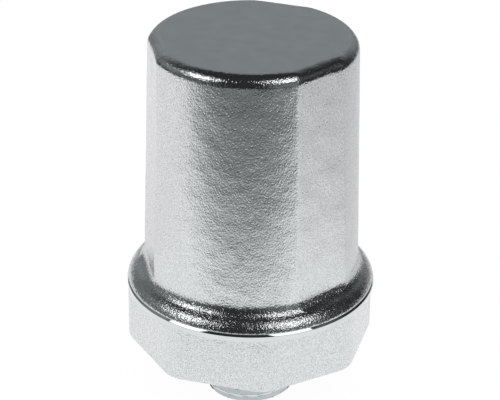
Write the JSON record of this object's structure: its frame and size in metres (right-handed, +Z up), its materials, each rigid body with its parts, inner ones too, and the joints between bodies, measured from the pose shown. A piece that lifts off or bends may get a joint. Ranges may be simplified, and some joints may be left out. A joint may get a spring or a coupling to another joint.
{
  "type": "water hammer arrestor",
  "caption": "Chromed brass water hammer arrestor: a flanged, stamped cap with clamping flats on an octagonal base with a threaded inlet, holding a sprung sliding piston.",
  "frame": {"origin": "centre of the inlet's lower end, on the axis", "axes": "+Z up the axis from the inlet to the cap's end, +X square to one of the nut's flats"},
  "size_m": [0.058, 0.058, 0.0903],
  "materials": {
    "chromed_brass": "chrome plate over hot-stamped brass, grainy on the stamped walls and bright on the turned faces",
    "seal_rubber": "moulded EPDM, matte",
    "acetal": "turned acetal, satin",
    "spring_steel": "drawn stainless wire with ground ends"
  },
  "bodies": {
    "housing": {"cap": "chromed_brass", "inlet_base": "chromed_brass", "base_seal": "seal_rubber", "spring": "spring_steel"},
    "plunger": {"piston": "acetal", "piston_ring_lower": "seal_rubber", "piston_ring_upper": "seal_rubber"}
  },
  "joints": [
    {"name": "piston_slide", "type": "slide", "parent": "housing", "child": "plunger", "axis": [0, 0, 1], "range_m": [0, 0.014], "stiffness_N_per_m": 52000, "deforming": ["spring"]}
  ]
}
